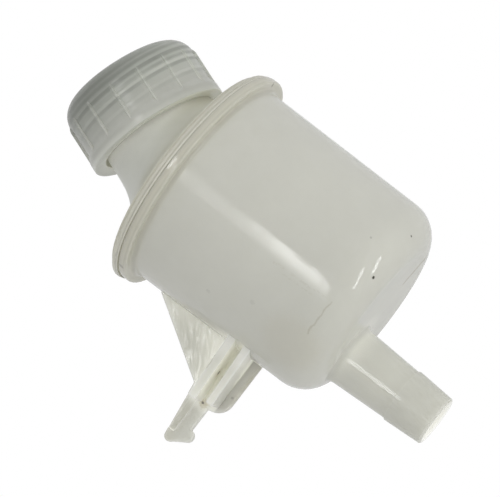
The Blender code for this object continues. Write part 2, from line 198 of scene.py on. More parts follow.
class Tree:
    """A geometry or shader node tree that is built with short calls."""

    def __init__(self, tree):
        self.tree = tree

    def add(self, kind, inputs=None, **settings):
        item = self.tree.nodes.new(kind)
        for name, value in settings.items():
            setattr(item, name, value)
        for key, value in (inputs or {}).items():
            if isinstance(value, bpy.types.NodeSocket):
                self.tree.links.new(value, item.inputs[key])
            else:
                item.inputs[key].default_value = value
        return item

    def math(self, operation, *values):
        return self.add("ShaderNodeMath", dict(enumerate(values)), operation=operation).outputs[0]

    def times(self, first, *others):
        """The product of values and sockets."""
        for other in others:
            first = self.math("MULTIPLY", first, other)
        return first

    def line(self, value, slope, start):
        """A value times a slope, plus a start."""
        return self.math("MULTIPLY_ADD", value, slope, start)

    def most(self, first, *others):
        """The largest of values and sockets."""
        for other in others:
            first = self.math("MAXIMUM", first, other)
        return first

    def plus(self, first, second):
        return self.math("ADD", first, second)

    def less(self, first, second):
        return self.math("SUBTRACT", first, second)

    def shape(self, kind, **inputs):
        """A geometry node's first output; an underscore stands for a space in an input's name."""
        named = {key.replace("_", " "): value for key, value in inputs.items()}
        return self.add("GeometryNode" + kind, named).outputs[0]

    def vector(self, operation, first, second):
        item = self.add("ShaderNodeVectorMath", {0: first, 1: second}, operation=operation)
        is_number = operation in ("DISTANCE", "DOT_PRODUCT")
        return item.outputs["Value" if is_number else "Vector"]

    def joined(self, **parts):
        """A vector from its X, Y and Z."""
        return self.add("ShaderNodeCombineXYZ", parts).outputs[0]

    def axes(self, vector):
        return self.add("ShaderNodeSeparateXYZ", {"Vector": vector}).outputs

    def scaled(self, vector, factor):
        item = self.add("ShaderNodeVectorMath", {0: vector, "Scale": factor}, operation="SCALE")
        return item.outputs[0]

    def ramp(self, value, low, high, out_low=0.0, out_high=1.0):
        """A smooth step from one value to another."""
        item = self.add("ShaderNodeMapRange", {"Value": value, "From Min": low, "From Max": high,
                                               "To Min": out_low, "To Max": out_high},
                        interpolation_type="SMOOTHSTEP")
        return item.outputs[0]

    def noise(self, vector, scale, detail=2.0, roughness=0.5):
        item = self.add("ShaderNodeTexNoise", {"Vector": vector, "Scale": scale, "Detail": detail,
                                               "Roughness": roughness})
        return item.outputs[0]

    def mix(self, factor, first, second, blend="MIX"):
        item = self.add("ShaderNodeMix", data_type="RGBA", blend_type=blend)
        for index, value in ((0, factor), (6, first), (7, second)):
            if isinstance(value, bpy.types.NodeSocket):
                self.tree.links.new(value, item.inputs[index])
            elif index == 0:
                item.inputs[index].default_value = value
            else:
                item.inputs[index].default_value = (*value, 1.0)
        return item.outputs[2]

    def shaded(self, colour, shade):
        """A colour times a grey."""
        return self.mix(1.0, colour, self.joined(X=shade, Y=shade, Z=shade), "MULTIPLY")

    def link(self, source, target):
        self.tree.links.new(source, target)

    def give(self, **results):
        """Close a node group with its results."""
        for label, socket in results.items():
            self.link(socket, self.result[label])
        return self.tree


FLOAT = "NodeSocketFloat"
WHOLE = "NodeSocketInt"
VECTOR = "NodeSocketVector"
GEOMETRY = "NodeSocketGeometry"
MATERIAL = "NodeSocketMaterial"


def node_group(name, kind, inputs, outputs):
    """A new node group; each input is given by its default number or its type of socket."""
    tree = bpy.data.node_groups.new(name, kind)
    for label, given in inputs.items():
        socket_type = {float: FLOAT, int: WHOLE}.get(type(given), given)
        socket = tree.interface.new_socket(label, in_out="INPUT", socket_type=socket_type)
        if socket_type != given:
            socket.default_value = given
    for label, socket_type in outputs.items():
        tree.interface.new_socket(label, in_out="OUTPUT", socket_type=socket_type)
    build = Tree(tree)
    build.value = build.add("NodeGroupInput").outputs
    build.result = build.add("NodeGroupOutput").inputs
    return build


def mesh_from_nodes(name, tree, values, material):
    """Run a geometry node tree on an empty mesh and keep its result as a plain mesh."""
    holder = bpy.data.objects.new(name + "_source", bpy.data.meshes.new(name + "_source"))
    bpy.context.scene.collection.objects.link(holder)
    modifier = holder.modifiers.new("shape", "NODES")
    modifier.node_group = tree
    identifiers = {item.name: item.identifier for item in tree.interface.items_tree
                   if item.item_type == "SOCKET" and item.in_out == "INPUT"}
    for label, value in values.items():
        modifier[identifiers[label]] = value
    modifier[identifiers["Finish"]] = material
    holder.update_tag()
    bpy.context.view_layer.update()
    evaluated = holder.evaluated_get(bpy.context.evaluated_depsgraph_get())
    mesh = bpy.data.meshes.new_from_object(evaluated)
    mesh.name = name
    source = holder.data
    holder.modifiers.remove(modifier)
    bpy.data.objects.remove(holder, do_unlink=True)
    bpy.data.meshes.remove(source)
    if not mesh.polygons:
        raise RuntimeError(name + " came out empty")
    return mesh


def closing_nodes(build, geometry):
    """Real geometry with its finish, which every tree ends in."""
    real = build.shape("RealizeInstances", Geometry=geometry)
    smooth = build.shape("SetShadeSmooth", Geometry=real)
    finish = build.shape("SetMaterial", Geometry=smooth, Material=build.value["Finish"])
    return build.give(Geometry=finish)


def grip_rib_tree():
    """Rounded ribs that stand round the cap's skirt and fade out at both ends."""
    build = node_group("grip_ribs", "GeometryNodeTree", {
        "Count": 15, "Skirt Radius": 0.022, "Start": 0.015, "Length": 0.0136, "Width": 0.0016,
        "Rise": 0.0007, "Depth": 0.0012, "Turn": 0.0, "Shoulder": 0.0268, "Round": 0.0066,
        "Finish": MATERIAL}, {"Geometry": GEOMETRY})
    value = build.value
    radius = build.less(build.plus(value["Skirt Radius"], value["Rise"]), value["Depth"])
    head = build.plus(value["Start"], value["Length"])
    line = build.shape("CurvePrimitiveLine", Start=build.joined(X=radius, Z=value["Start"]),
                       End=build.joined(X=radius, Z=head))
    fine = build.shape("ResampleCurve", Curve=line, Count=24)
    along = build.add("GeometryNodeSplineParameter").outputs["Factor"]
    height = build.axes(build.shape("InputPosition"))["Z"]
    over = build.most(build.less(height, value["Shoulder"]), 0.0)
    squares = build.less(build.times(value["Round"], value["Round"]), build.times(over, over))
    drop = build.less(value["Round"], build.math("SQRT", squares))
    sink = build.times(build.ramp(along, 0.76, 1.0), value["Width"])
    inward = build.joined(X=build.times(build.plus(drop, sink), -1.0))
    bent = build.shape("SetPosition", Geometry=fine, Offset=inward)
    facing = build.add("GeometryNodeSetCurveNormal", {"Curve": bent, "Normal": (1.0, 0.0, 0.0)},
                       mode="FREE").outputs[0]
    circle = build.shape("CurvePrimitiveCircle", Resolution=24, Radius=1.0)
    oval = build.joined(X=value["Depth"], Y=build.times(value["Width"], 0.5))
    hump = build.shape("Transform", Geometry=circle, Scale=oval)
    rib = build.shape("CurveToMesh", Curve=facing, Profile_Curve=hump, Fill_Caps=True)
    points = build.shape("Points", Count=value["Count"])
    pitch = build.math("DIVIDE", 2 * math.pi, value["Count"])
    turn = build.line(build.shape("InputIndex"), pitch, value["Turn"])
    ring = build.shape("InstanceOnPoints", Points=points, Instance=rib,
                       Rotation=build.joined(Z=turn))
    return closing_nodes(build, ring)


def thread_tree():
    """A round-crested screw thread that runs out at both ends."""
    build = node_group("screw_thread", "GeometryNodeTree", {
        "Radius": 0.018, "Pitch": 0.003, "Turns": 3.0, "Start": 0.017, "Crest": 0.0009,
        "Finish": MATERIAL}, {"Geometry": GEOMETRY})
    value = build.value
    helix = build.shape("CurveSpiral", Resolution=96, Rotations=value["Turns"],
                        Start_Radius=value["Radius"], End_Radius=value["Radius"],
                        Height=build.times(value["Pitch"], value["Turns"]))
    along = build.add("GeometryNodeSplineParameter").outputs["Factor"]
    fade = build.times(build.ramp(along, 0.0, 0.06, 0.15, 1.0),
                       build.ramp(along, 1.0, 0.94, 0.15, 1.0))
    upright = build.add("GeometryNodeSetCurveNormal", {"Curve": helix}, mode="Z_UP").outputs[0]
    crest = build.shape("CurvePrimitiveCircle", Resolution=12, Radius=value["Crest"])
    thread = build.shape("CurveToMesh", Curve=upright, Profile_Curve=crest, Scale=fade,
                         Fill_Caps=True)
    rise = build.joined(Z=value["Start"])
    return closing_nodes(build, build.shape("Transform", Geometry=thread, Translation=rise))


def bead_tree():
    """A ring of squeezed-out plastic, uneven as hot-plate weld flash is."""
    build = node_group("weld_bead", "GeometryNodeTree", {
        "Radius": 0.0375, "Thickness": 0.0004, "Unevenness": 0.4, "Seed": 3.0,
        "Finish": MATERIAL}, {"Geometry": GEOMETRY})
    value = build.value
    circle = build.shape("CurvePrimitiveCircle", Resolution=240, Radius=value["Radius"])
    rough = build.add("ShaderNodeTexNoise", {
        "Vector": build.shape("InputPosition"), "W": value["Seed"], "Scale": 120.0},
        noise_dimensions="4D").outputs[0]
    size = build.line(build.less(rough, 0.5), value["Unevenness"], 1.0)
    profile = build.shape("CurvePrimitiveCircle", Resolution=12, Radius=value["Thickness"])
    flat = build.shape("Transform", Geometry=profile, Scale=(0.65, 1.0, 1.0))
    bead = build.shape("CurveToMesh", Curve=circle, Profile_Curve=flat, Scale=size)
    return closing_nodes(build, bead)


def flow_group():
    """Slow changes of shade and a faint waviness, as a moulding cools unevenly."""
    build = node_group("moulding_flow", "ShaderNodeTree",
                       {"Vector": VECTOR, "Patch Size": 20.0, "Grain Size": 1.5},
                       {"Shade": FLOAT, "Height": FLOAT})
    value = build.value
    broad = build.noise(value["Vector"], build.math("DIVIDE", 1.0, value["Patch Size"]), 3.0)
    fine = build.noise(value["Vector"], build.math("DIVIDE", 1.0, value["Grain Size"]), 4.0, 0.6)
    shade = build.line(fine, 0.25, build.times(broad, 0.75))
    return build.give(Shade=shade, Height=build.line(fine, 0.06, broad))


def speck_group():
    """One ragged speck of dirt at a place on the surface."""
    build = node_group("dirt_speck", "ShaderNodeTree",
                       {"Vector": VECTOR, "Place": VECTOR, "Size": 0.5, "Ragged": 0.5},
                       {"Mask": FLOAT})
    value = build.value
    away = build.vector("DISTANCE", value["Vector"], value["Place"])
    noise = build.noise(value["Vector"], 2.2, 2.0)
    spread = build.times(build.less(noise, 0.5), value["Ragged"])
    reach = build.plus(build.math("DIVIDE", away, value["Size"]), spread)
    return build.give(Mask=build.ramp(reach, 1.15, 0.55))


def streak_group():
    """A broken line of grime or a crease between two places on the surface."""
    build = node_group("grime_streak", "ShaderNodeTree", {
        "Vector": VECTOR, "Start": VECTOR, "End": VECTOR, "Width": 0.4, "Gaps": 0.5},
        {"Mask": FLOAT})
    value = build.value
    wander = build.add("ShaderNodeTexNoise", {
        "Vector": value["Vector"], "Scale": 0.35, "Detail": 3.0}).outputs["Color"]
    drift = build.vector("SUBTRACT", wander, (0.5, 0.5, 0.5))
    place = build.vector("ADD", value["Vector"], build.scaled(drift, 1.6))
    from_start = build.vector("SUBTRACT", place, value["Start"])
    line = build.vector("SUBTRACT", value["End"], value["Start"])
    share = build.math("DIVIDE", build.vector("DOT_PRODUCT", from_start, line),
                       build.vector("DOT_PRODUCT", line, line))
    held = build.add("ShaderNodeClamp", {"Value": share}).outputs[0]
    away = build.vector("DISTANCE", from_start, build.scaled(line, held))
    band = build.ramp(build.math("DIVIDE", away, value["Width"]), 1.0, 0.2)
    gaps = build.noise(value["Vector"], 0.9, 3.0, 0.7)
    broken = build.ramp(gaps, value["Gaps"], build.plus(value["Gaps"], 0.12))
    return build.give(Mask=build.times(band, broken))


def scuff_group():
    """Fine scratches and rub marks that change only the gloss."""
    build = node_group("handling_scuffs", "ShaderNodeTree",
                       {"Vector": VECTOR, "Density": 0.5}, {"Mask": FLOAT})
    value = build.value
    long_way = build.vector("MULTIPLY", value["Vector"], (0.9, 0.9, 0.12))
    across = build.vector("MULTIPLY", value["Vector"], (0.15, 1.1, 1.1))
    marks = build.most(build.noise(long_way, 2.0, 5.0, 0.75), build.noise(across, 1.6, 5.0, 0.75))
    low = build.less(0.78, build.times(value["Density"], 0.2))
    return build.give(Mask=build.ramp(marks, low, build.plus(low, 0.12)))


def make_groups():
    return {"flow": flow_group(), "speck": speck_group(),
            "streak": streak_group(), "scuff": scuff_group()}


# How far off a corner still shelters, and the openness that counts as sheltered and as open
SHELTER_REACH = 12 * MM
SHELTER_RANGE = (0.25, 0.95)
# How deep light scatters in the shells and in the cap
SHELL_DEPTH = 4 * MM
CAP_DEPTH = 0.6 * MM


def tinted(colour, share):
    return [share * part for part in colour]


class Finish:
    """A plastic or rubber finish on the Principled shader, laid out in millimetres."""

    def __init__(self, name, groups, own_frame=None):
        self.material = bpy.data.materials.new(name)
        self.material.use_nodes = True
        self.build = Tree(self.material.node_tree)
        self.shader = self.material.node_tree.nodes["Principled BSDF"]
        self.groups = groups
        coordinates = self.build.add("ShaderNodeTexCoord").outputs["Object"]
        self.place = self.build.scaled(coordinates, 1.0 / MM)
        self.own_place = self.in_frame(own_frame) if own_frame else self.place
        self.axes = self.build.axes(self.own_place)

    def in_frame(self, other):
        """The place as measured in another frame, such as the leaning cap's."""
        inverse = other.inverted()
        turned = self.build.add("ShaderNodeMapping", {
            "Vector": self.place, "Rotation": inverse.to_euler(),
            "Location": inverse.translation / MM}, vector_type="POINT")
        return turned.outputs[0]

    def region(self, spans):
        """A mask from smooth steps: each names an axis, where it starts and where it ends."""
        return self.build.times(*[self.build.ramp(self.axes[axis], *span) for axis, *span in spans])

    def group(self, name, output, **inputs):
        item = self.build.add("ShaderNodeGroup", node_tree=self.groups[name])
        self.build.link(self.place, item.inputs["Vector"])
        for label, value in inputs.items():
            item.inputs[label.replace("_", " ")].default_value = value
        return item.outputs[output] if output else item.outputs

    def marks(self, name, rows):
        """The strongest of the specks or streaks in a table at each point."""
        labels = {"speck": ("Place", "Size", "Ragged"), "streak": ("Start", "End", "Width", "Gaps")}
        result = 0.0
        for *values, strength in rows:
            mask = self.group(name, "Mask", **dict(zip(labels[name], values)))
            result = self.build.most(result, self.build.times(mask, strength))
        return result

    def open_air(self):
        """How open the surface lies: 0 deep in a corner or a bore, 1 in the open."""
        item = self.build.add("ShaderNodeAmbientOcclusion", {"Distance": SHELTER_REACH}, samples=8)
        return self.build.ramp(item.outputs["AO"], *SHELTER_RANGE)

    def colour(self, socket):
        self.build.link(socket, self.shader.inputs["Base Color"])

    def roughness(self, socket):
        self.build.link(socket, self.shader.inputs["Roughness"])

    def bump(self, height, distance, strength=1.0):
        item = self.build.add("ShaderNodeBump", {
            "Height": height, "Distance": distance, "Strength": strength})
        self.build.link(item.outputs[0], self.shader.inputs["Normal"])

    def glow(self, open_air, colour):
        """A little light that the milky plastic scatters into its sheltered corners."""
        glow = self.build.mix(open_air, colour, (0.0, 0.0, 0.0))
        self.build.link(glow, self.shader.inputs["Emission Color"])
        self.uniform(Emission_Strength=1.0)

    def scatter(self, depth):
        """Light that goes into the plastic and comes out within a depth."""
        self.uniform(Subsurface_Weight=1.0, Subsurface_Radius=(1.0, 1.0, 1.0),
                     Subsurface_Scale=depth)

    def uniform(self, **values):
        for label, value in values.items():
            self.shader.inputs[label.replace("_", " ")].default_value = value


# Marks seen on the part, in millimetres in its own frame
# Specks and the halos round them: place, size, raggedness and strength
SHELL_SPECKS = (
    ((49.4, -22.0, -22.1), 0.55, 0.7, 1.0),
    ((65.8, -11.5, -21.7), 0.42, 0.7, 0.80),
    ((58.1, -22.1, -14.5), 0.40, 0.7, 0.25),
    ((77.6, -1.3, 41.3), 0.9, 0.9, 0.50),
    ((7.2, -7.3, 42.9), 1.0, 0.9, 0.35),
    ((-0.3, 2.0, 1.6), 0.75, 1.2, 1.0),
    ((-10.5, 5.5, 0.6), 0.42, 1.2, 0.75),
    ((-4.0, 5.5, -5.6), 0.5, 1.2, 0.30),
    ((17.4, -16.0, 15.2), 0.8, 1.4, 0.10),
    ((22.7, -20.4, 1.9), 0.9, 1.4, 0.09),
)
SHELL_HALOS = (
    ((-0.3, 2.0, 0.8), 2.0, 1.6, 0.42),
    ((-10.5, 5.5, 0.2), 1.6, 1.6, 0.38),
    ((-1.2, 5.5, -0.4), 1.4, 1.8, 0.30),
    ((19.0, -17.5, -14.0), 11.0, 0.8, 0.10),
)
# Streaks and creases: start, end, width, gaps and strength
SHELL_STREAKS = (
    ((35.7, -26.0, 2.9), (36.7, -25.6, -16.3), 0.50, 0.44, 0.16),
    ((34.4, -25.7, -1.0), (35.3, -25.3, -15.6), 0.40, 0.46, 0.14),
    ((36.7, -25.4, -17.1), (30.8, -23.9, -16.9), 0.45, 0.0, 0.30),
    ((30.8, -23.9, -16.9), (25.2, -21.3, -16.7), 0.45, 0.0, 0.30),
    ((64.6, 11.9, -25.1), (54.7, 8.3, -25.2), 1.7, 0.0, 0.50),
    ((3.5, -5.5, 4.4), (-1.8, -5.5, 4.1), 0.35, 0.30, 0.5),
)


# Regions of the shells, in millimetres: an axis, where the mask starts and where it is full,
# and the two values of the mask where they aren't 0 and 1
FLANGE = (("Z", 38.8, 41.8),)
UNDER_FLANGE = (("Z", 39.5, 38.0),)
FLANGE_RIM = (("Z", 41.0, 41.6),)
RIM_FOOT_SHADE = (("Z", 40.9, 41.2), ("Z", 42.6, 42.0))
CORNER_UNDER_FLANGE = (("Z", 31.0, 38.0),)
TONGUE = (("X", -11.5, -14.0),)
TONGUE_TOP = (("Z", -0.5, 2.5),)
RAILS_LIT = (("Z", -4.2, -3.5), ("X", -14.0, -11.0),
         ("X", 2.0, 8.0, 0.30, 1.0), ("Z", 5.5, 4.0, 0.15, 1.0))
DULL_RAILS = (("Z", 5.5, 3.5),)
SLOT = (("Y", -4.0, 2.0), ("X", -12.0, -9.5))
FIN = (("Z", -3.6, -4.2), ("Y", -3.0, 5.0, 0.55, 1.0))
FIN_EDGE = (("Z", -5.0, -7.6), ("X", -9.0, 2.0, 0.35, 1.0))
WEB = (("Z", 4.5, 6.0),)
OUTLET_FOOT = (("Z", -38.0, -48.0, 0.0, 0.6),)
OUTLET_BARB = (("Z", -46.0, -47.5, 0.0, 0.6),)
OUTLET_INSIDE = (("Z", -31.0, -35.0),)
SMOOTH_BOTTOM = (("Z", -24.0, -28.0, 1.0, 0.35),)
NECK = (("Z", 47.5, 56.0),)
NECK_ROOT = (("Z", 54.5, 59.0),)
SEAM = (("Z", 45.3, 44.6, 0.0, 0.5),)
VALLEY_SHADE = (("Z", 45.2, 46.2), ("Z", 54.5, 49.5))
# Steps by distance: off the cup's wall, from the outlet's axis and from the slot's middle
BRACKET_OFF_WALL = (0.06, 0.25)
RIM_OFF_WALL = (1.0, 2.0)
BORE_FROM_AXIS = (7.7, 7.3)
SLOT_HALF_WIDTH = (2.4, 1.6)
# Height of the flare below the flange, where the wall starts to turn outwards
FLARE = {"From Min": 36.0, "From Max": 41.3}
FLARE_BUMP = 0.50


def lower_masks(finish):
    """The lower shell's regions that don't follow one axis."""
    build = finish.build
    flat = build.vector("MULTIPLY", finish.place, (1.0, 1.0, 0.0))
    wall_at_zero = (CUP_RADIUS - CUP_SLOPE * CUP_PLACE.z) / MM
    wall = build.line(finish.axes["Z"], CUP_SLOPE, wall_at_zero)
    cup_axis, outlet_axis = [(x / MM, y / MM, 0.0) for x, y in (CUP_PLACE.xy, OUTLET_PLACE)]
    off_wall = build.less(build.vector("DISTANCE", flat, cup_axis), wall)
    bracket = build.times(build.ramp(off_wall, *BRACKET_OFF_WALL), finish.region(UNDER_FLANGE))
    from_middle = build.math("ABSOLUTE", finish.axes["Z"])
    from_bore = build.vector("DISTANCE", flat, outlet_axis)
    return {
        "bracket": bracket,
        "rails": build.times(bracket, finish.region(RAILS_LIT)),
        "slot": build.times(build.ramp(from_middle, *SLOT_HALF_WIDTH),
                            finish.region(SLOT), bracket),
        "fin": build.times(finish.region(FIN), bracket),
        "bore": build.times(build.ramp(from_bore, *BORE_FROM_AXIS), finish.region(OUTLET_INSIDE)),
        "rim_foot_shade": build.times(finish.region(RIM_FOOT_SHADE), build.ramp(off_wall, *RIM_OFF_WALL)),
    }


def milky_colour(finish, colours, masks, shade):
    """Milky plastic with painted light on the rail zone, a greyed fin, a soiled slot and single
    marks.
    """
    build = finish.build
    patchy = build.ramp(build.noise(finish.place, 0.35, 4.0), 0.36, 0.66)
    flange = finish.region(FLANGE)
    tongue = finish.region(TONGUE)
    # A darker milky tone, laid on the tongue and towards the outlet's tip
    thick = tinted(colours.milky, 0.88)
    body = build.mix(shade, tinted(colours.milky, 0.93), tinted(colours.milky, 1.05))
    for mask, colour in (
            (flange, colours.aged),
            (build.times(tongue, 0.6), thick),
            (build.times(tongue, finish.region(TONGUE_TOP), 0.17), colours.stain),
            # Painted light: the rail zone and the slot in it are painted paler
            (masks["rails"], tinted(colours.milky, 1.45)),
            (finish.region(OUTLET_FOOT), thick)):
        body = build.mix(mask, body, colour)
    # Painted light: sheltered corners, the corner under the flange and the outlet's bore take the
    # pale deep colours and a faint glow
    in_open = build.times(finish.open_air(), build.less(1.0, masks["bore"]))
    deep = build.mix(finish.region(CORNER_UNDER_FLANGE), colours.deep, tinted(colours.milky, 1.06))
    body = build.mix(in_open, build.mix(flange, deep, colours.deep_aged), body)
    # Painted shade: the flange's lower rim, off the cup's wall, is darkened a little
    body = build.mix(masks["rim_foot_shade"], body, (0.88, 0.88, 0.88), "MULTIPLY")
    unlit = build.most(build.times(masks["slot"], 0.55), masks["fin"],
                       build.times(finish.region(FLANGE_RIM), 0.45))
    finish.glow(build.most(in_open, unlit), colours.glow)
    slot_grime = build.times(masks["slot"], build.line(patchy, 0.08, 0.07))
    fin_grime = build.times(masks["fin"], finish.region(FIN_EDGE),
                            build.ramp(patchy, 0.0, 1.0, 0.6, 1.0))
    for mask, colour in (
            (slot_grime, colours.stain),
            (build.times(masks["fin"], 0.95), colours.fin),
            (build.times(fin_grime, 0.70), colours.stain),
            (finish.marks("speck", SHELL_HALOS), colours.halo),
            (finish.marks("streak", SHELL_STREAKS), colours.stain),
            (finish.marks("speck", SHELL_SPECKS), colours.speck)):
        body = build.mix(mask, body, colour)
    finish.colour(body)


def milky_relief(finish, masks, flow):
    """Waviness of the wall, the web's drawn fan and the flare below the flange."""
    build = finish.build
    spread = build.joined(X=build.vector("DOT_PRODUCT", finish.place, (0.22, 0.0, -0.30)),
                          Y=build.vector("DOT_PRODUCT", finish.place, (0.06, 0.0, 0.045)))
    fan = build.noise(spread, 1.0, 2.0, 0.5)
    drawn = build.noise(build.vector("MULTIPLY", finish.place, (0.55, 0.55, 0.03)), 1.0, 3.0, 0.6)
    wavy = build.times(build.line(drawn, 0.04, flow["Height"]), finish.region(SMOOTH_BOTTOM))
    flare = build.add("ShaderNodeMapRange", {"Value": finish.axes["Z"], **FLARE}).outputs[0]
    height = build.line(build.times(flare, flare), FLARE_BUMP, wavy)
    web = build.times(fan, masks["bracket"], finish.region(WEB))
    finish.bump(build.line(web, 1.6, height), 0.6 * MM, 0.4)


def milky_finish(colours, groups):
    """The lower shell: thick milky polypropylene with specks, streaks and a soiled slot."""
    finish = Finish("milky_shell_finish", groups)
    build = finish.build
    flow = finish.group("flow", None, Patch_Size=24.0, Grain_Size=2.2)
    masks = lower_masks(finish)
    milky_colour(finish, colours, masks, flow["Shade"])
    dull = build.most(build.times(masks["bracket"], finish.region(DULL_RAILS)),
                      finish.region(OUTLET_BARB))
    scuffs = finish.group("scuff", "Mask", Density=0.5)
    base = build.line(flow["Shade"], 0.04, 0.06)
    matt = build.line(scuffs, 0.07, base)
    finish.roughness(build.line(dull, 0.26, matt))
    milky_relief(finish, masks, flow)
    finish.scatter(SHELL_DEPTH)
    return finish.material


def aged_finish(colours, groups):
    """The upper shell: the same plastic, greyer on the neck and yellowed at the weld."""
    finish = Finish("aged_shell_finish", groups)
    build = finish.build
    flow = finish.group("flow", None, Patch_Size=16.0, Grain_Size=1.8)
    body = build.mix(finish.region(NECK), colours.aged, colours.neck)
    body = build.mix(finish.region(SEAM), body, colours.weld)
    # Painted shade in the valley between the neck and the flange
    body = build.mix(build.times(finish.region(VALLEY_SHADE), 0.38), body, colours.valley_shade)
    body = build.shaded(body, build.ramp(flow["Shade"], 0.3, 0.7, 0.95, 1.04))
    # Painted light: sheltered corners, the neck's root most, take the pale deep colours and a faint
    # glow
    deep = build.mix(finish.region(NECK_ROOT), colours.deep_aged, colours.deep)
    in_open = finish.open_air()
    finish.glow(in_open, tinted(colours.glow, 0.5))
    finish.colour(build.mix(in_open, deep, body))
    scuffs = finish.group("scuff", "Mask", Density=0.4)
    finish.roughness(build.line(scuffs, 0.10, 0.30))
    finish.bump(flow["Height"], 0.5 * MM, 0.35)
    finish.scatter(SHELL_DEPTH)
    return finish.material


# Light and dark bands in the cap, where the threads show through: height of a light band in
# millimetres, spacing, rise round the cap in millimetres per radian from the given angle
BAND_HEIGHT = 23.25
BAND_SPACING = 4.2
BAND_RISE = 1.13
BAND_ANGLE = math.radians(-74)
# The bands of one kind: height above a light band, the mask's range and strength near the roof
LIGHT_BANDS = ((0.0, 0.45, 0.95), (1.85, 0.55, 0.95, 0.6))
DARK_BANDS = ((-1.0, 0.35, 0.95), (1.3, 0.55, 0.95, 0.7))
# Regions of the cap, in its own leaning frame
CAP_UPPER = (("Z", 23.5, 25.5),)
CAP_FOOT = (("Z", 28.0, 14.0),)
BANDS_SEEN = (("Z", 15.0, 25.0), ("Z", 31.5, 30.0), ("X", -20.0, -4.0, 0.35, 1.0))
# The black gasket seen through the roof, painted darker still towards -X as painted shade
GASKET_AND_SHADE = (("Z", 23.0, 29.5), ("X", 24.0, -4.0, 0.50, 1.0))
SHADED_SIDE = (("X", 14.0, -22.0), ("Z", 14.0, 23.0, 0.12, 0.25))
# Height above the mouth's skewed edge, over which the painted highlight along its rim fades
MOUTH_HIGHLIGHT = (2.4, 0.6)


def cap_bands(finish, rows):
    """Rings that rise round the cap one spacing apart, with a second set near the roof."""
    build = finish.build
    angle = build.less(build.math("ARCTAN2", finish.axes["Y"], finish.axes["X"]), BAND_ANGLE)
    level = build.line(angle, -BAND_RISE, finish.axes["Z"])
    masks = []
    for above, low, high, *near_roof in rows:
        turn = build.times(build.less(level, BAND_HEIGHT + above), 2 * math.pi / BAND_SPACING)
        ring = build.ramp(build.math("COSINE", turn), low, high)
        if near_roof:
            ring = build.times(ring, finish.region(CAP_UPPER), *near_roof)
        masks.append(ring)
    return build.most(*masks)


def cap_finish(name, colours, groups, paler):
    """The cap: thinner, clearer plastic, in which threads and the black gasket show faintly."""
    finish = Finish(name, groups, CAP_FRAME)
    build = finish.build
    uneven = build.ramp(build.noise(finish.own_place, 0.09, 2.0), 0.3, 0.7, 0.75, 1.1)
    strength = build.times(finish.region(BANDS_SEEN), uneven)
    light = build.times(cap_bands(finish, LIGHT_BANDS), strength)
    dark = build.times(cap_bands(finish, DARK_BANDS), strength)
    flow = finish.group("flow", None, Patch_Size=12.0, Grain_Size=1.4)
    skirt = build.mix(finish.region(CAP_FOOT), colours.cap, colours.cap_band)
    for mask, colour in (
            (build.times(light, 0.42), colours.cap_light),
            (build.times(dark, 0.40), colours.cap_dark),
            (build.times(finish.region(GASKET_AND_SHADE), 0.57), colours.cap_dark),
            (paler, colours.cap_light)):
        skirt = build.mix(mask, skirt, colour)
    skirt = build.shaded(skirt, build.times(build.ramp(flow["Shade"], 0.3, 0.7, 0.96, 1.04),
                                            build.less(1.03, finish.region(SHADED_SIDE))))
    # Painted highlight: a paler band along the mouth's skewed edge, where the rim catches light
    lean = build.vector("DOT_PRODUCT", finish.own_place, (*MOUTH_SIDE, 0.0))
    edge = build.line(lean, 0.5 * MOUTH_SKEW / CAP_RADIUS, (CAP_START + 0.5 * MOUTH_SKEW) / MM)
    rim = build.ramp(build.less(finish.axes["Z"], edge), *MOUTH_HIGHLIGHT)
    skirt = build.mix(build.times(rim, 0.8), skirt, colours.cap_light)
    # Painted light: sheltered places, such as the mouth's inside, take the pale deep colour and a
    # faint glow
    in_open = finish.open_air()
    finish.glow(in_open, tinted(colours.glow, 0.45))
    finish.colour(build.mix(in_open, colours.deep_cap, skirt))
    scuffs = finish.group("scuff", "Mask", Density=0.7)
    finish.roughness(build.line(scuffs, 0.12, 0.22))
    finish.bump(build.line(light, 0.35, flow["Height"]), 0.6 * MM, 0.45)
    finish.scatter(CAP_DEPTH)
    finish.uniform(Specular_IOR_Level=0.4)
    return finish.material


def rubber_finish(colours, groups):
    """Matt black rubber with a fine grain."""
    finish = Finish("gasket_rubber_finish", groups)
    build = finish.build
    flow = finish.group("flow", None, Patch_Size=5.0, Grain_Size=0.4)
    finish.colour(build.mix(flow["Shade"], tinted(colours.rubber, 0.6),
                            tinted(colours.rubber, 1.6)))
    finish.roughness(build.ramp(flow["Shade"], 0.3, 0.7, 0.62, 0.82))
    finish.bump(flow["Height"], 0.2 * MM, 0.5)
    return finish.material


def weld_finish(colours, groups):
    """The squeezed-out weld bead, paler and clearer than the shells beside it."""
    finish = Finish("weld_bead_finish", groups)
    build = finish.build
    flow = finish.group("flow", None, Patch_Size=6.0, Grain_Size=0.8)
    finish.colour(build.mix(flow["Shade"], colours.aged, colours.weld))
    finish.roughness(build.ramp(flow["Shade"], 0.3, 0.7, 0.22, 0.4))
    finish.bump(flow["Height"], 0.2 * MM, 0.4)
    return finish.material


def length(name, description, value):
    return FloatProperty(name=name, description=description, default=value,
                         subtype="DISTANCE", unit="LENGTH", precision=5)


def tint(name, description, value):
    return FloatVectorProperty(name=name, description=description, default=value,
                               subtype="COLOR", size=3, min=0.0, max=1.0)


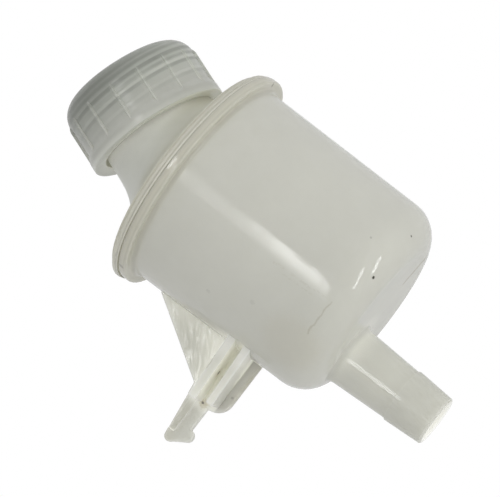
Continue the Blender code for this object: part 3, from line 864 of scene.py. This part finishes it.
class ReservoirSizes(bpy.types.PropertyGroup):
    rib_count: IntProperty(name="Ribs", description="Number of grip ribs round the cap",
                           default=15, min=3)
    rib_width: length("Rib width", "Width of each grip rib", 1.2 * MM)
    rib_depth: length("Rib depth", "How far each rib reaches into the wall", 1.2 * MM)
    rib_rise: length("Rib rise", "How far each rib stands off the skirt", 0.6 * MM)
    thread_pitch: length("Thread pitch", "Rise of the cap in one turn", 3.0 * MM)
    neck_crest: length("Neck thread crest", "Radius of the neck's round thread", 0.9 * MM)
    cap_crest: length("Cap thread crest", "Radius of the cap's round thread", 1.1 * MM)
    bead: length("Weld bead", "Half the width of the squeezed-out bead", 0.32 * MM)
    cove: length("Flange root", "Radius of the cove where the flange leaves the cup", 1.3 * MM)
    edge: length("Edge rounding", "Rounding of the moulded edges", 0.35 * MM)


class ReservoirColours(bpy.types.PropertyGroup):
    milky: tint("Milky plastic", "Lower shell", (0.600, 0.600, 0.545))
    aged: tint("Aged plastic", "Flange and lid", (0.540, 0.530, 0.455))
    neck: tint("Neck", "Filler neck", (0.585, 0.593, 0.545))
    # Painted shade in the valley between the neck and the flange
    valley_shade: tint("Valley", "Grime between the neck and the flange", (0.380, 0.375, 0.300))
    weld: tint("Weld", "Bead along the seam", (0.620, 0.610, 0.540))
    cap: tint("Cap", "Cap's upper skirt", (0.405, 0.420, 0.378))
    cap_band: tint("Cap band", "Cap's lower skirt", (0.495, 0.500, 0.458))
    cap_light: tint("Cap thread, light", "Where the wall is thick", (0.620, 0.630, 0.580))
    cap_dark: tint("Cap thread, dark", "Thin wall over a dark gap", (0.170, 0.180, 0.160))
    rubber: tint("Rubber", "Gasket", (0.025, 0.025, 0.025))
    stain: tint("Stain", "Brown grime", (0.300, 0.270, 0.180))
    speck: tint("Specks", "Black dirt", (0.050, 0.045, 0.035))
    halo: tint("Halos", "Rusty dirt round the specks", (0.440, 0.380, 0.230))
    floor: tint("Floor", "Pale floor", (0.930, 0.930, 0.920))
    fin: tint("Fin", "Bracket's back edge, greyed by handling", (0.550, 0.545, 0.500))
    # Painted light: glow and the deep colours light up sheltered corners, bores and the cap's mouth
    glow: tint("Glow", "Light scattered into sheltered corners", (0.085, 0.083, 0.070))
    deep: tint("Deep plastic", "Corners lit through the milky plastic", (0.930, 0.930, 0.860))
    deep_aged: tint("Deep aged plastic", "The same in the aged shell", (0.600, 0.590, 0.500))
    deep_cap: tint("Deep cap", "The same in the cap", (0.800, 0.810, 0.740))


class ReservoirStage(bpy.types.PropertyGroup):
    lens: FloatProperty(
        name="Lens", description="Camera's focal length", default=165.6, unit="CAMERA")
    ambient: FloatProperty(
        name="Ambient", description="Strength of the pale surroundings", default=0.712)
    strip: FloatProperty(
        name="Strip lights", description="Brightness of the mirrored strip lights", default=6.9)
    fill: FloatProperty(
        name="Side fill", description="Power of the broad side fill", default=2.1, unit="POWER")


FINISHES = {
    "milky": milky_finish,
    "aged": aged_finish,
    "weld": weld_finish,
    "cap": lambda colours, groups: cap_finish("clear_cap_finish", colours, groups, 0.0),
    "rib": lambda colours, groups: cap_finish("cap_rib_finish", colours, groups, 0.12),
    "rubber": rubber_finish,
}
MADE = {}


def finish_for(scene, name):
    """A finish by its name, made once, with the node groups that all of them share."""
    if "groups" not in MADE:
        MADE["groups"] = make_groups()
    if name not in MADE:
        MADE[name] = FINISHES[name](scene.reservoir_colours, MADE["groups"])
    return MADE[name]


def shell_piece(scene, node, name, material):
    """A shell's CAD mesh with whole faces, ready for its rounded edges."""
    mesh = merged_copy(node, name)
    shade_by_angle(mesh)
    return new_piece(name, mesh, finish_for(scene, material))


class RESERVOIR_OT_lower_shell(bpy.types.Operator):
    """Finish the lower shell: cup, hose outlet and snap bracket"""

    bl_idname = "reservoir.lower_shell"
    bl_label = "Lower shell"

    def execute(self, context):
        sizes = context.scene.reservoir_sizes
        piece = shell_piece(context.scene, "lower_shell", "cup_and_bracket", "milky")
        cove = piece.modifiers.new("flange_root", "BEVEL")
        cove.width = sizes.cove
        cove.segments = 5
        cove.limit_method = "WEIGHT"
        cove.edge_weight = "root_weight"
        soften_edges(piece, sizes.edge)
        finish_piece(piece, "reservoir", ["lower_shell"])
        return {"FINISHED"}


class RESERVOIR_OT_upper_shell(bpy.types.Operator):
    """Finish the upper shell: lid and slanted filler neck"""

    bl_idname = "reservoir.upper_shell"
    bl_label = "Upper shell"

    def execute(self, context):
        piece = shell_piece(context.scene, "upper_shell", "lid_and_neck", "aged")
        soften_edges(piece, context.scene.reservoir_sizes.edge)
        finish_piece(piece, "reservoir", ["upper_shell"])
        return {"FINISHED"}


class RESERVOIR_OT_weld_bead(bpy.types.Operator):
    """Add the squeezed-out bead along the welded flange"""

    bl_idname = "reservoir.weld_bead"
    bl_label = "Weld bead"

    def execute(self, context):
        scene = context.scene
        material = finish_for(scene, "weld")
        mesh = mesh_from_nodes("weld_bead", bead_tree(), {
            "Radius": BEAD_RADIUS, "Thickness": scene.reservoir_sizes.bead,
            "Unevenness": 0.2, "Seed": 3.0}, material)
        mesh.transform(CUP_FRAME @ Matrix.Translation((-LID_OFFSET / 2, 0, WELD_HEIGHT)))
        finish_piece(new_piece("weld_bead", mesh, material), "reservoir")
        return {"FINISHED"}


def on_neck_axis(bm, name, angle=35.0):
    """A mesh that was made upright, set on the neck's leaning axis."""
    bm.transform(CAP_FRAME)
    mesh = bpy.data.meshes.new(name)
    bm.to_mesh(mesh)
    bm.free()
    shade_by_angle(mesh, angle)
    return mesh


def cap_profile():
    """The cap's section: under the roof, down the bore, round the band and up over the shoulder."""
    band = CAP_RADIUS + CAP_BAND_STEP
    shoulder = (CAP_RADIUS - CAP_TOP_ROUND, CAP_TOP - CAP_TOP_ROUND)
    inner = (CAP_BORE - CAP_INNER_ROUND, CAP_ROOF - CAP_INNER_ROUND)
    step = [(0.5 + 0.5 * math.cos(math.pi * index / 8), index / 8) for index in range(9)]
    return (
        [(0, CAP_ROOF)]
        + arc(inner, CAP_INNER_ROUND, 90, 0, 6)
        + [(CAP_BORE, CAP_START + height) for height in CAP_BORE_END]
        + arc((CAP_LIP + CAP_LIP_ROUND, CAP_START + CAP_LIP_MIDDLE), CAP_LIP_ROUND, 90, 270, 6)
        + arc((band - CAP_EDGE, CAP_START + CAP_EDGE), CAP_EDGE, -90, 0, 5)
        + [(CAP_RADIUS + CAP_BAND_STEP * out, CAP_START + CAP_SLOPE_START + CAP_SLOPE_HEIGHT * up)
           for out, up in step]
        + arc(shoulder, CAP_TOP_ROUND, 0, 90, 18)
        + [(radius * MM, CAP_TOP - down * MM) for radius, down in CAP_MARK])


def skew_mouth(bm):
    """Lift one side of the mouth's edge, as a worn cap's skirt has it."""
    for vert in bm.verts:
        near = 1.0 - min(max((vert.co.z - CAP_START) / MOUTH_FADE, 0.0), 1.0)
        share = 0.5 + 0.5 * vert.co.xy.dot(Vector(MOUTH_SIDE)) / CAP_RADIUS
        vert.co.z += MOUTH_SKEW * near * share


class RESERVOIR_OT_screw_cap(bpy.types.Operator):
    """Build the screw cap and its ring of grip ribs"""

    bl_idname = "reservoir.screw_cap"
    bl_label = "Screw cap"

    def execute(self, context):
        scene = context.scene
        sizes = scene.reservoir_sizes
        material = finish_for(scene, "cap")
        bm = spun(cap_profile())
        skew_mouth(bm)
        cap = new_piece("cap_shell", on_neck_axis(bm, "cap_shell", 40.0), material)
        finish_piece(cap, "cap", ["screw_cap"])

        material = finish_for(scene, "rib")
        mesh = mesh_from_nodes("cap_ribs", grip_rib_tree(), {
            "Count": sizes.rib_count, "Skirt Radius": CAP_RADIUS,
            "Start": CAP_START + CAP_BAND - RIB_OVERLAP, "Length": RIB_LENGTH + RIB_OVERLAP,
            "Width": sizes.rib_width, "Rise": sizes.rib_rise, "Depth": sizes.rib_depth,
            "Turn": RIB_TURN, "Shoulder": CAP_TOP - CAP_TOP_ROUND, "Round": CAP_TOP_ROUND,
        }, material)
        mesh.transform(CAP_FRAME)
        finish_piece(new_piece("cap_ribs", mesh, material), "cap")
        return {"FINISHED"}


class RESERVOIR_OT_threads(bpy.types.Operator):
    """Add the matching screw threads of the neck and the cap"""

    bl_idname = "reservoir.threads"
    bl_label = "Screw threads"

    def execute(self, context):
        scene = context.scene
        sizes = scene.reservoir_sizes
        tree = thread_tree()
        rows = (
            ("neck_thread", "reservoir", "aged_shell", "aged", NECK_THREAD, sizes.neck_crest),
            ("cap_thread", "cap", "clear_cap", "rib", CAP_THREAD, sizes.cap_crest),
        )
        for name, body, slot, finish, (radius, turns, start), crest in rows:
            material = finish_for(scene, finish)
            mesh = mesh_from_nodes(name, tree, {
                "Radius": radius, "Pitch": sizes.thread_pitch, "Turns": turns,
                "Start": start, "Crest": crest}, material)
            mesh.transform(CAP_FRAME)
            finish_piece(new_piece(name, mesh, material), body)
        return {"FINISHED"}


class RESERVOIR_OT_gasket(bpy.types.Operator):
    """Build the rubber gasket under the cap's roof"""

    bl_idname = "reservoir.gasket"
    bl_label = "Gasket"

    def execute(self, context):
        material = finish_for(context.scene, "rubber")
        rim = GASKET_RADIUS - GASKET_EDGE
        dished = GASKET_BOTTOM + GASKET_DISH
        bm = spun(
            [(0, GASKET_TOP)]
            + arc((rim, GASKET_TOP - GASKET_EDGE), GASKET_EDGE, 90, 0, 4)
            + arc((rim, GASKET_BOTTOM + GASKET_EDGE), GASKET_EDGE, 0, -90, 4)
            + [(GASKET_SEAT, GASKET_BOTTOM), (GASKET_SEAT - GASKET_DISH, dished), (0, dished)])
        piece = new_piece("gasket_disc", on_neck_axis(bm, "gasket_disc"), material)
        finish_piece(piece, "gasket", ["cap_gasket"])
        return {"FINISHED"}


# Camera, fitted to the photograph; the part's frame leans in it
CAMERA_PLACE = Vector((0.0346, -0.6682, -0.1336))
CAMERA_RIGHT = Vector((0.6081, 0.1741, -0.7745))
CAMERA_UP = Vector((0.7938, -0.1334, 0.5933))
FLOOR_HEIGHT = -0.75
FLOOR_RADIUS = 14.0


# The leaning strip light that the cup mirrors, as short bars on a plane in front of the part:
# each row's height on the plane, the place of its sharp right-hand edge and its brightness
STRIP_CENTRE = Vector((-0.108, -0.964, 0.202))
STRIP_ACROSS = Vector((0.987, -0.158, 0.0))
STRIP_UP = Vector((0.033, 0.206, 0.978))
STRIP_TARGET = Vector((0.042, -0.027, 0.0))
STRIP_ROWS = ((-0.0164, 0.148, 0.90), (-0.0331, 0.141, 1.17),
              (-0.0498, 0.130, 0.98), (-0.0665, 0.055, 1.3))
STRIP_BAR = (0.058, 0.0167)
STRIP_FALL = (0.95, 1.0, 0.68, 0.42, 0.18)

# Smaller lights that the plastic mirrors: name, place, target, width, height, radiance
# and long axis
SMALL_STRIPS = (
    ("upper_glow", (-0.098, -0.965, 0.226), (0.042, -0.027, 0.0),
     0.23, 0.062, 0.17, (0, 0, 1)),
    ("cap_light", (0.020, -0.300, 0.137), (0.047, -0.016, 0.070),
     0.040, 0.065, 0.9, (0.926, 0, -0.377)),
    ("outlet_light", (-0.245, -0.980, 0.028), (0.0265, -0.002, -0.036),
     0.270, 0.050, 0.70, (0, 0, 1)),
    ("low_strip", (0.263, -0.553, -0.579), (0.047, -0.024, -0.019),
     0.080, 0.36, 0.9, (0.36, -0.11, 0.25)),
    ("lower_strip", (0.445, -0.246, -0.677), (0.053, -0.021, -0.021),
     0.080, 0.30, 0.9, (0.31, -0.07, 0.21)),
)
# Broad lights that aren't mirrored: name, place from the cup and share of the side fill
FILLS = (("side_fill", (0.6, -1.0, 0.15), 1.0), ("low_fill", (0.17, -0.17, -0.63), 0.17))
FILL_SIDE = 0.9


def looking(place, right, up, back):
    """The matrix of a camera or light, which both look away from their back."""
    return Matrix.Translation(place) @ Matrix((right, up, back)).transposed().to_4x4()


def add_light(name, place, target, width, height, power, up=Vector((0, 0, 1))):
    """A rectangular light that faces a target, with its height along the given direction."""
    light = bpy.data.lights.new(name, "AREA")
    light.shape = "RECTANGLE"
    light.size = width
    light.size_y = height
    light.energy = power
    item = bpy.data.objects.new(name, light)
    back = (place - target).normalized()
    right = up.cross(back).normalized()
    item.matrix_world = looking(place, right, back.cross(right), back)
    item.visible_camera = False
    bpy.context.scene.collection.objects.link(item)
    return item


def plate_power(width, height, radiance):
    """The power that makes a rectangular light as bright as a radiance."""
    return math.pi * width * height * radiance


class RESERVOIR_OT_stage(bpy.types.Operator):
    """Set the pale floor, the soft studio light and the camera"""

    bl_idname = "reservoir.stage"
    bl_label = "Stage"

    def execute(self, context):
        scene = context.scene
        stage = scene.reservoir_stage
        self.add_camera(scene, stage)
        self.add_floor(scene)
        self.add_surroundings(scene, stage)
        self.add_strips(stage)
        for name, offset, share in FILLS:
            side = FILL_SIDE * share ** 0.2
            place = CUP_PLACE + Vector(offset)
            fill = add_light(name, place, CUP_PLACE, side, side, stage.fill * share)
            fill.visible_glossy = False
        scene.view_settings.view_transform = "Standard"
        return {"FINISHED"}

    def add_strips(self, stage):
        width, height = STRIP_BAR
        for row, (rise, edge, level) in enumerate(STRIP_ROWS):
            for column, share in enumerate(STRIP_FALL):
                across = edge - (column + 0.5) * width
                place = STRIP_CENTRE + STRIP_ACROSS * across + STRIP_UP * rise
                power = plate_power(width, height, level * share * stage.strip)
                name = "strip_%d_%d" % (row, column)
                add_light(name, place, STRIP_TARGET, width, height, power)
        for name, place, target, width, height, radiance, up in SMALL_STRIPS:
            power = plate_power(width, height, radiance * stage.strip)
            strip = add_light(name, Vector(place), Vector(target), width, height, power, Vector(up))
            # The cap's own light is near it, and marks only its gloss
            strip.visible_diffuse = name != "cap_light"

    def add_camera(self, scene, stage):
        data = bpy.data.cameras.new("product_camera")
        data.lens = stage.lens
        data.sensor_width = 36.0
        camera = bpy.data.objects.new("product_camera", data)
        back = CAMERA_RIGHT.cross(CAMERA_UP).normalized()
        camera.matrix_world = looking(CAMERA_PLACE, CAMERA_RIGHT, CAMERA_UP, back)
        scene.collection.objects.link(camera)
        scene.camera = camera

    def add_floor(self, scene):
        bm = bmesh.new()
        bmesh.ops.create_circle(bm, cap_ends=True, segments=96, radius=FLOOR_RADIUS)
        bm.transform(Matrix.Translation((CUP_PLACE.x, CUP_PLACE.y, FLOOR_HEIGHT)))
        mesh = bpy.data.meshes.new("pale_floor")
        bm.to_mesh(mesh)
        bm.free()
        material = bpy.data.materials.new("pale_floor_finish")
        material.use_nodes = True
        shader = material.node_tree.nodes["Principled BSDF"]
        shader.inputs["Base Color"].default_value = (*scene.reservoir_colours.floor, 1.0)
        shader.inputs["Roughness"].default_value = 0.9
        floor = bpy.data.objects.new("pale_floor", mesh)
        mesh.materials.append(material)
        scene.collection.objects.link(floor)

    def add_surroundings(self, scene, stage):
        world = bpy.data.worlds.new("pale_surroundings")
        world.use_nodes = True
        scene.world = world
        build = Tree(world.node_tree)
        background = world.node_tree.nodes["Background"]
        paths = build.add("ShaderNodeLightPath").outputs
        seen = build.most(paths["Is Camera Ray"], paths["Is Transmission Ray"])
        strength = build.line(seen, 1.0 - stage.ambient, stage.ambient)
        background.inputs["Color"].default_value = (1.0, 1.0, 1.0, 1.0)
        build.link(strength, background.inputs["Strength"])


OPERATORS = (
    RESERVOIR_OT_lower_shell,
    RESERVOIR_OT_upper_shell,
    RESERVOIR_OT_weld_bead,
    RESERVOIR_OT_screw_cap,
    RESERVOIR_OT_threads,
    RESERVOIR_OT_gasket,
    RESERVOIR_OT_stage,
)


class RESERVOIR_PT_panel(bpy.types.Panel):
    """Lists the reservoir's pieces and sizes in the sidebar"""

    bl_idname = "RESERVOIR_PT_panel"
    bl_label = "Reservoir"
    bl_space_type = "VIEW_3D"
    bl_region_type = "UI"
    bl_category = "Reservoir"

    def draw(self, context):
        scene = context.scene
        for operator in OPERATORS:
            self.layout.operator(operator.bl_idname)
        for group in (scene.reservoir_sizes, scene.reservoir_colours, scene.reservoir_stage):
            box = self.layout.box()
            for name in group.__annotations__:
                box.prop(group, name)


CLASSES = (ReservoirSizes, ReservoirColours, ReservoirStage, *OPERATORS, RESERVOIR_PT_panel)


def register():
    for item in CLASSES:
        bpy.utils.register_class(item)
    bpy.types.Scene.reservoir_sizes = PointerProperty(type=ReservoirSizes)
    bpy.types.Scene.reservoir_colours = PointerProperty(type=ReservoirColours)
    bpy.types.Scene.reservoir_stage = PointerProperty(type=ReservoirStage)


def unregister():
    del bpy.types.Scene.reservoir_stage
    del bpy.types.Scene.reservoir_colours
    del bpy.types.Scene.reservoir_sizes
    for item in reversed(CLASSES):
        bpy.utils.unregister_class(item)


def main():
    register()
    bpy.ops.reservoir.stage()
    bpy.ops.reservoir.lower_shell()
    bpy.ops.reservoir.upper_shell()
    bpy.ops.reservoir.weld_bead()
    bpy.ops.reservoir.screw_cap()
    bpy.ops.reservoir.threads()
    bpy.ops.reservoir.gasket()


if __name__ == "__main__":
    main()
